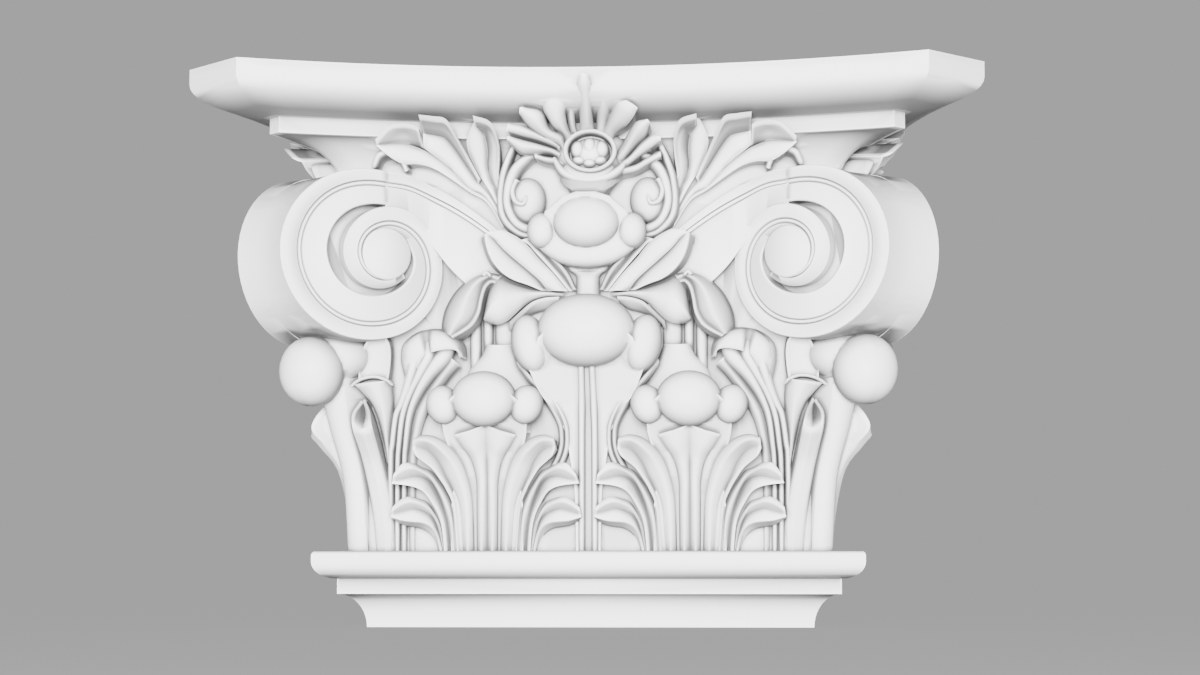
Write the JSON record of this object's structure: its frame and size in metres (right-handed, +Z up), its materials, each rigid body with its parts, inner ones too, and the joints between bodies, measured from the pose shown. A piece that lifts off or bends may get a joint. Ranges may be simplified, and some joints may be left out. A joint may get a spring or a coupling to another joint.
{
  "type": "column capital",
  "caption": "Half-depth carved capital for a pilaster or engaged pier: moulded base, leafy bell, corner scrolls and a concave abacus.",
  "frame": {"origin": "middle of the width and of the depth, at the underside that rests on the shaft", "axes": "+Z up, front of the capital towards -Y, flat back towards +Y, width along X"},
  "size_m": [0.5212, 0.2606, 0.3668],
  "materials": {
    "white_stone": "matt, fine rubbed surface"
  },
  "bodies": {
    "root": {"capital": "white_stone"}
  },
  "joints": []
}
